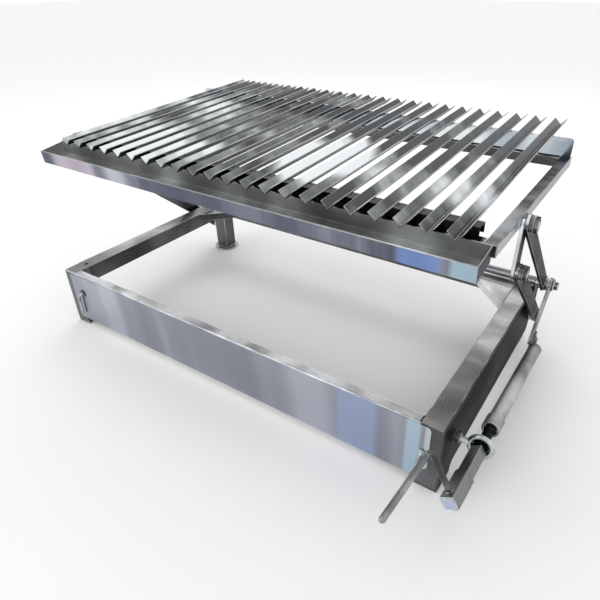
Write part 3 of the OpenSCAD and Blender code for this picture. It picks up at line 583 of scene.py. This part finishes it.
def hex_nut(shape, centre, start, thick, flats, hole):
    """A hexagon nut about X, with chamfered corners and an open hole."""
    same_place, chamfer_share, corner_ease, hex_angle = 1e-6, 0.9, 0.0006, math.radians(50)
    corner_radius = flats / math.sqrt(3)
    middle = (start + thick / 2, centre[1], centre[2])
    body = set(bmesh.ops.create_cone(
        shape, cap_ends=False, segments=6, radius1=corner_radius, radius2=corner_radius,
        depth=thick,
        matrix=Matrix.Translation(middle) @ Matrix.Rotation(math.pi / 2, 4, "Y"))["verts"])

    def along_x(edge):
        return abs(edge.verts[0].co.x - edge.verts[1].co.x)

    rims = [e for e in shape.edges if all(v in body for v in e.verts)
            and along_x(e) < same_place]
    for end in (start, start + thick):
        rim = [e for e in rims if abs(e.verts[0].co.x - end) < same_place]
        for reach in (chamfer_share, hole / corner_radius):
            grown = bmesh.ops.extrude_edge_only(shape, edges=rim)["geom"]
            corners = {g for g in grown if isinstance(g, bmesh.types.BMVert)}
            rim = [g for g in grown if isinstance(g, bmesh.types.BMEdge)
                   and all(v in corners for v in g.verts)]
            for v in corners:
                on_axis = Vector((v.co.x, centre[1], centre[2]))
                v.co = on_axis + (v.co - on_axis).normalized() * reach * corner_radius
    flank_edges = [e for e in shape.edges if len(e.link_faces) == 2
                   and e.calc_face_angle(0) > hex_angle and along_x(e) > thick / 2]
    soften(shape, flank_edges, corner_ease)


collar_steel = worked_steel("turned collar", greys(0.07, 0.19, 0.45), 0.28, grain=0.02,
                            patch=(300, 12, 12), spread=0.16)
nut_steel = worked_steel("nut", greys(0.06, 0.12, 0.26), 0.28, grain=0.02, patch=(60, 60, 60),
                         spread=0.16, graze=0.4)
collar_bands = [(0.0, 0.008), (0.0, 0.0138), (0.0006, 0.0145), (0.0026, 0.0145),
                (0.0031, 0.0136), (0.0039, 0.0136), (0.0044, 0.0145), (0.0064, 0.0145),
                (0.007, 0.0138), (0.007, 0.008)]
collar_thick, collar_radius = 0.007, 0.0145
nut_thick, nut_flats, nut_hole, nut_corner = 0.005, 0.024, 0.008, 0.0008
for side, sign in (("left", -1), ("right", 1)):
    node = side + "_nuts"
    low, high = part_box(node)
    inner = low.x if side == "right" else high.x
    nut_start = min(inner + sign * collar_thick, inner + sign * (collar_thick + nut_thick))
    shape = bmesh.new()
    for z in (low.z + collar_radius, high.z - collar_radius):
        centre = Vector((inner, (low.y + high.y) / 2, z))
        turned(shape, centre, [(sign * x, r) for x, r in collar_bands])
        collar_faces = set(shape.faces)
        hex_nut(shape, centre, nut_start, nut_thick, nut_flats, nut_hole)
        for face in set(shape.faces) - collar_faces:
            face.material_index = 1
    bmesh.ops.recalc_face_normals(shape, faces=shape.faces)
    piece_of(node + "_turned", shape, [collar_steel, nut_steel], cad[node]["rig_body"], node)
    eased_copy(side + "_bolts", turned_corner, shaft_steel, (), bright_edge_highlight)
eased_copy("shaft_end_nuts", nut_corner, nut_steel, (), bright_edge_highlight)


# The grate frame: 20 mm square tube, mitred and welded. It is coloured dark, and its tops
# and outer sides are painted lighter as painted light.

rail_corner = 0.0014
to_right, to_left = (1, 0, 0), (-1, 0, 0)
grate_side = worked_steel("grate rail side", greys(0.05, 0.08, 0.15, -0.02), 0.3, "Y",
                          patch=(9, 9, 9), spread=0.15, graze=0.3)
lit_grate_top = worked_steel("top of the grate rail, painted light", greys(0.06, 0.14, 0.32, -0.03), 0.28, "Y",
                         patch=(12, 16, 12), graze=0.5)
lit_grate_outer = worked_steel("outer side of the grate rail, painted light", greys(0.16, 0.28, 0.42, -0.03), 0.34, "Y",
                           patch=(9, 5, 9))
for rail, away in (("grate_left_rail", to_left), ("grate_right_rail", to_right)):
    eased_copy(rail, rail_corner, grate_side, [(up, lit_grate_top), (away, lit_grate_outer)], dim_edge_highlight)
for bar in ("grate_front_bar", "grate_rear_bar"):
    eased_copy(bar, rail_corner, grate_side, [(up, lit_grate_top)], bright_edge_highlight)


# The hangers: flat bar welded on the rails' outer sides. They carry the bolts on which
# the arms lift the grate frame.

# The hangers' faces are painted dark as painted shade, and their edges towards the cook light
# as a painted highlight.
shaded_hanger_face = worked_steel("flat bar", greys(0.08, 0.12, 0.19, -0.04), 0.32, "Z",
                           patch=(20, 20, 12), graze=0.3)
for side in ("left", "right"):
    eased_copy(side + "_hanger", flat_corner, shaded_hanger_face, [(toward_cook, bar_rim_highlight)], dim_edge_highlight)


# The rear plate and the drip trough: mirror-bright sheet, cut and folded. The trough's
# floor is duller than its front. The front is painted in bands and coloured tints as painted
# reflections, and the ends are painted darker as painted shade.

trough_floor = worked_steel("trough floor", [(0.2, 0.208, 0.203, 1), (0.33, 0.343, 0.335, 1),
                                             (0.56, 0.58, 0.57, 1)], 0.45, "X",
                            patch=(9, 9, 9), spread=0.16)
trough_front_reflections = banded_sheet(
    "front of the trough, painted reflections", [(0.07, 0.07, 0.1, 1), (0.19, 0.2, 0.25, 1), (0.46, 0.48, 0.55, 1)],
    [((0.2, 0.3, 0.62, 1), 0.35, 0.435), ((0.42, 0.58, 0.68, 1), 0.435, 0.5),
     ((0.5, 0.42, 0.5, 1), -0.49, -0.33), ((0.1, 0.105, 0.15, 1), -0.28, 0.3)], 0.16, 12.0)
shaded_trough_end = worked_steel("ends of the trough, painted shade", [(0.12, 0.12, 0.14, 1), (0.19, 0.19, 0.22, 1),
                                         (0.28, 0.28, 0.32, 1)], 0.32, "Y", graze=0.5)
rear_sheet = worked_steel("rear sheet", [(0.3, 0.35, 0.42, 1), (0.52, 0.58, 0.62, 1),
                                         (0.8, 0.86, 0.86, 1)], 0.18, "X", patch=(8, 8, 8))
trough_corner, front_depth, end_depth = 0.0006, 0.02, 0.003
trough_low, trough_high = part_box("drip_trough")
eased_copy("back_plate", thin_corner, rear_sheet, (), sheet_rim_highlight)
eased_copy("drip_trough", trough_corner, trough_floor,
           [(toward_cook, trough_front_reflections, -trough_low.y - front_depth),
            (to_right, shaded_trough_end, trough_high.x - end_depth),
            (to_left, shaded_trough_end, -trough_low.x - end_depth)], sheet_rim_highlight)


# The V bars: angle steel laid open upwards, with sawn ends. The inner faces are brushed
# along and painted in lighter and darker stretches as painted light and shade, the other
# walls darker and the undersides black as painted shade, and the top edges carry a painted
# highlight.

bars_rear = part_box("v_bars")[1].y
crank_side_from, crank_side_to = -0.4, 0.1
rear_shade_from, rear_shade_to = bars_rear - 0.45, bars_rear - 0.18
painted_highlight_spot, painted_highlight_reach = (0.1, 0.02, 0), (1 / 0.08, 1 / 0.13, 0)


def bar_wall(name, tones, rough):
    """A brushed wall of the V bars, painted darker towards the rear end and on the crank's side
    as painted shade, and with a bright patch near the middle as a painted highlight."""
    w = Wiring(bpy.data.materials.new(name))
    place = w.add("ShaderNodeTexCoord", output="Object")
    along, depth, _ = w.axes(place)
    cloud = w.noise(place, (6, 8, 6))
    lines = w.noise(place, (900, 5, 900))
    aside = w.fade(along, crank_side_from, crank_side_to)
    behind = w.fade(depth, rear_shade_from, rear_shade_to)
    offset = w.add("ShaderNodeVectorMath", {"operation": "SUBTRACT"}, [place, painted_highlight_spot])
    scaled = w.add("ShaderNodeVectorMath", {"operation": "MULTIPLY"}, [offset, painted_highlight_reach])
    away = w.add("ShaderNodeVectorMath", {"operation": "LENGTH"}, [scaled], output=1)
    painted_highlight = w.fade(away + 0.8 * (cloud - 0.5), 1.15, 0.75)
    level = (1.25 * cloud - 0.02 + 0.08 * (lines - 0.5) - 0.2 * aside - 0.24 * behind
             + 0.4 * painted_highlight)
    stops = [(0.28, tones[0]), (0.44, tones[1]), (0.66, tones[2])]
    shade = w.add("ShaderNodeValToRGB", {"stops": stops}, [level])
    hair = w.add("ShaderNodeBump", {}, {"Strength": 0.2, "Distance": 0.00005, "Height": lines})
    return w.surface(Base_Color=shade, Metallic=1.0, Normal=hair,
                     Roughness=rough + 0.1 * (cloud - 0.5))


bar_inside = bar_wall("V bar, inner wall", [(0.08, 0.085, 0.09, 1), (0.26, 0.275, 0.28, 1),
                                            (0.85, 0.9, 0.91, 1)], 0.24)
# The other wall is painted darker than the inner wall and the underside black as painted shade,
# and the top edges lighter as a painted highlight.
shaded_bar_wall = bar_wall("V bar's other wall, painted shade", [(0.04, 0.043, 0.046, 1), (0.16, 0.17, 0.175, 1),
                                           (0.7, 0.73, 0.75, 1)], 0.26)
shaded_bar_underside = worked_steel("V bar's underside, painted shade", greys(0.012, 0.025, 0.05), 0.4, "Y",
                         patch=(12, 6, 12))
bar_tip = worked_steel("V bar, sawn end", greys(0.5, 0.68, 0.9), 0.25, patch=(60, 60, 60))
v_bar_line_highlight = worked_steel("V bar's top edges, painted highlight", greys(0.24, 0.34, 0.5), 0.3, "Y",
                        patch=(20, 9, 20))
bar_corner, bar_thick = 0.0004, 0.003
eased_copy("v_bars", bar_corner, shaded_bar_underside,
           [((1, 0, 1), bar_inside), ((-1, 0, 1), shaded_bar_wall), (toward_cook, bar_tip)],
           v_bar_line_highlight, narrow=bar_thick)


# The comb: a notched strip across the grate that carries the front ends of the V bars.
# It is plain steel, cut with the notches and coloured black.

comb_corner = 0.0012
comb_black = worked_steel("black comb", greys(0.006, 0.012, 0.03), 0.42, "X",
                          patch=(40, 40, 40), grain=0.5)
comb_edge = worked_steel("comb edge", greys(0.02, 0.05, 0.14), 0.35, "X", patch=(60, 60, 60))
eased_copy("bar_comb", comb_corner, comb_black, (), comb_edge)


# The front of the drive line: an eye bolt through the side plate, held by a nut, and a
# black bush in the eye. The bolt is plated, and the bush is turned from black bar.

plated_pale = worked_steel("pale plated steel", [(0.25, 0.28, 0.29, 1), (0.48, 0.54, 0.55, 1),
                                                 (0.72, 0.78, 0.79, 1)], 0.25, grain=0.05,
                           patch=(50, 50, 50), spread=0.2)
black_steel = worked_steel("black steel", greys(0.006, 0.012, 0.03), 0.35, "Y",
                           patch=(60, 60, 60))
nut_dull = worked_steel("dull nut", greys(0.06, 0.12, 0.3), 0.3, "Z", patch=(60, 60, 60))
eye_corner, small_corner = 0.0008, 0.0006
eased_copy("eye_bolt", eye_corner, plated_pale, (), plated_pale)
eased_copy("eye_bolt_nut", small_corner, nut_dull, (), bright_edge_highlight)
eased_copy("eye_bush", eye_corner, black_steel)


# The screw: a black threaded rod with a rolled thread, which turns in the bush and runs
# in the draw tube's nut.

line_tilt, crank_turn = math.radians(4.724), math.radians(32)
bush_low, bush_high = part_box("eye_bush")
on_line = (Matrix.Translation((bush_low + bush_high) / 2)
           @ Matrix.Rotation(-line_tilt, 4, "X"))
on_crank = on_line @ Matrix.Rotation(-crank_turn, 4, "Y")
screw_radius, root_radius, core_fit, thread_pitch = 0.009, 0.0077, 0.0002, 0.004
screw_start, thread_start, thread_end, pitch_gap = -0.009, 0.0134, 0.2494, 0.00002
turns, steps = int((thread_end - thread_start) / thread_pitch) - 1, 20
tooth_outline = [(0, root_radius), (0.3, screw_radius), (0.55, screw_radius),
                 (0.85, root_radius), (1, root_radius)]
shape = bmesh.new()
tooth = [shape.verts.new((0, thread_start + share * thread_pitch, radius))
         for share, radius in tooth_outline]
flanks = [shape.edges.new(tooth[i:i + 2]) for i in range(len(tooth) - 1)]
bmesh.ops.spin(shape, geom=tooth + flanks, cent=(0, 0, 0), axis=(0, 1, 0),
               dvec=(0, thread_pitch / steps, 0), angle=2 * math.pi * turns,
               steps=steps * turns, use_merge=False, use_duplicate=False)
bmesh.ops.remove_doubles(shape, verts=shape.verts, dist=pitch_gap)
sweep(shape, [(0, screw_start, 0), (0, thread_start, 0)], screw_radius, sides=28)
sweep(shape, [(0, thread_start, 0), (0, thread_end, 0)], root_radius - core_fit, sides=20)
bmesh.ops.transform(shape, matrix=on_line, verts=shape.verts)
bmesh.ops.recalc_face_normals(shape, faces=shape.faces)
piece_of("screw_thread", shape, [black_steel], "crank", "screw_rod")


# The draw tube, with a socket nut welded on its front and a closed end with an ear for the
# lever's pin. The tube is blotched, partly from handling and heat and partly as painted
# reflections.

drawn_tube = worked_steel("drawn tube", [(0.12, 0.12, 0.125, 1), (0.3, 0.305, 0.31, 1),
                                         (0.55, 0.56, 0.56, 1)], 0.52, "Y",
                          patch=(16, 11, 16), spread=0.15)
ear_edge = worked_steel("ear", greys(0.04, 0.09, 0.22), 0.3, "Y", patch=(60, 60, 60))
socket_corner, socket_bead = 0.0009, 0.0022
eased_copy("thrust_collar", small_corner, black_steel)
eased_copy("draw_tube", small_corner, drawn_tube)
eased_copy("draw_nut", socket_corner, drawn_tube, (), bright_edge_highlight)
eased_copy("draw_yoke", eye_corner, drawn_tube, (), ear_edge)
tube_radius, front_joint, rear_joint, tube_bead_count = 0.01345, 0.0832, 0.3582, 74
weld("draw_tube_welds", "draw_slide",
     [ring_path((0, y, 0), tube_radius, (1, 0, 0), (0, 0, 1), tube_bead_count, on_line)
      for y in (front_joint, rear_joint)], socket_bead)


# The crank: a square shaft with a square sleeve, and 10 mm rod bent for the handle and
# welded on. The sleeve's front is closed. The squares' tops, left sides and fronts are painted
# lighter than their other sides, the fronts bluish: painted light and painted reflection.

crank_right, crank_front, crank_top = [
    on_crank.to_3x3() @ Vector(way) for way in ((1, 0, 0), (0, -1, 0), (0, 0, 1))]
square_side = worked_steel("square bar, side", greys(0.1, 0.17, 0.27), 0.32, "Y",
                           patch=(12, 9, 12), graze=0.5)
lit_square_top = worked_steel("top of the square bar, painted light", greys(0.14, 0.24, 0.4, 0.01), 0.36, "Y",
                          patch=(12, 14, 12), spread=0.15)
lit_square_left = worked_steel("left of the square bar, painted light", greys(0.36, 0.55, 0.75), 0.5, "Y",
                           patch=(12, 14, 12))
lit_sleeve_front = worked_steel("sleeve's front", [(0.34, 0.4, 0.55, 1), (0.44, 0.5, 0.66, 1),
                                               (0.55, 0.6, 0.74, 1)], 0.25)
rod_dark = worked_steel("bent rod", greys(0.04, 0.075, 0.17, 0.0), 0.2, "Y",
                        patch=(20, 20, 20), grain=0.08, spread=0.15)
rod_light = worked_steel("grip rod", greys(0.13, 0.2, 0.34, 0.0), 0.22, "Y",
                         patch=(20, 20, 20), grain=0.08)
square_corner, handle_bead, handle_bead_count = 0.0009, 0.0028, 30
for square in ("crank_shaft", "crank_sleeve"):
    eased_copy(square, square_corner, square_side,
               [(crank_top, lit_square_top), (-crank_right, lit_square_left),
                (crank_front, lit_sleeve_front)], bright_edge_highlight)
eased_copy("crank_handle", 0, rod_dark)
eased_copy("crank_grip", 0, rod_light)
handle_foot, handle_radius = (0, -0.129, 0.0124), 0.005
weld("handle_weld", "crank",
     [ring_path(handle_foot, handle_radius, (1, 0, 0), (0, 1, 0), handle_bead_count,
                on_crank)], handle_bead)


# The stage: a plain pale floor, a white surround and soft lamps, seen by a camera at the
# photograph's viewing angle.

shape = bmesh.new()
bmesh.ops.create_grid(shape, x_segments=1, y_segments=1, size=14.0)
floor_mesh = bpy.data.meshes.new("floor")
shape.to_mesh(floor_mesh)
shape.free()
floor = bpy.data.objects.new("floor", floor_mesh)
bpy.context.scene.collection.objects.link(floor)
floor_mesh.materials.append(Wiring(bpy.data.materials.new("pale floor")).surface(
    Base_Color=grey(0.95), Roughness=0.9, Specular_IOR_Level=0.1))

surround = bpy.data.worlds.new("surround")
bpy.context.scene.world = surround
air = Wiring(surround)
to_camera, mirrored, through = [air.add("ShaderNodeLightPath", output=ray) for ray in
                                ("Is Camera Ray", "Is Glossy Ray", "Is Transmission Ray")]
seen = air.add("ShaderNodeMath", {"operation": "MAXIMUM"}, [to_camera, mirrored])
seen = air.add("ShaderNodeMath", {"operation": "MAXIMUM"}, [seen, through])
white = air.add("ShaderNodeMix", {"data_type": "RGBA"},
                {"Factor": seen, "A": grey(0.98), "B": grey(1.0)}, output=2)
air.feed(surround.node_tree.nodes["Background"].inputs["Color"], white)

lamp_aim = Vector((0, 0, 0.3))
for name, at, size, power in (("rear softbox", (-1.1, 2.2, 2.2), (2.2, 0.9), 14),
                              ("front softbox", (-1.6, -2.4, 1.8), (1.6, 1.0), 10)):
    light = bpy.data.lights.new(name, "AREA")
    light.shape = "RECTANGLE"
    light.size, light.size_y = size
    light.energy = power
    lamp = bpy.data.objects.new(name, light)
    bpy.context.scene.collection.objects.link(lamp)
    toward = lamp_aim - Vector(at)
    lamp.matrix_world = (Matrix.Translation(at)
                         @ toward.to_track_quat("-Z", "Y").to_matrix().to_4x4())

focal_pixels, frame_pixels, sensor_width = 526.565, 600, 36
middle_across, middle_down = 328.06, 299.95
heading, slope, roll = -0.5800, -0.5670, -0.0080
eye = Vector((0.64985, -0.82351, 0.7789))
ahead = Vector((math.sin(heading) * math.cos(slope), math.cos(heading) * math.cos(slope),
                math.sin(slope)))
level_right = Vector((math.cos(heading), -math.sin(heading), 0))
upward = level_right.cross(ahead)
right = math.cos(roll) * level_right + math.sin(roll) * upward
above = math.cos(roll) * upward - math.sin(roll) * level_right
lens = bpy.data.cameras.new("camera")
lens.sensor_width = sensor_width
lens.lens = sensor_width * focal_pixels / frame_pixels
lens.shift_x = (frame_pixels / 2 - middle_across) / frame_pixels
lens.shift_y = (middle_down - frame_pixels / 2) / frame_pixels
lens.clip_start, lens.clip_end = 0.05, 60
camera = bpy.data.objects.new("camera", lens)
bpy.context.scene.collection.objects.link(camera)
camera.matrix_world = (Matrix.Translation(eye)
                       @ Matrix((right, above, -ahead)).transposed().to_4x4())
bpy.context.scene.camera = camera
bpy.context.scene.view_settings.view_transform = "Standard"
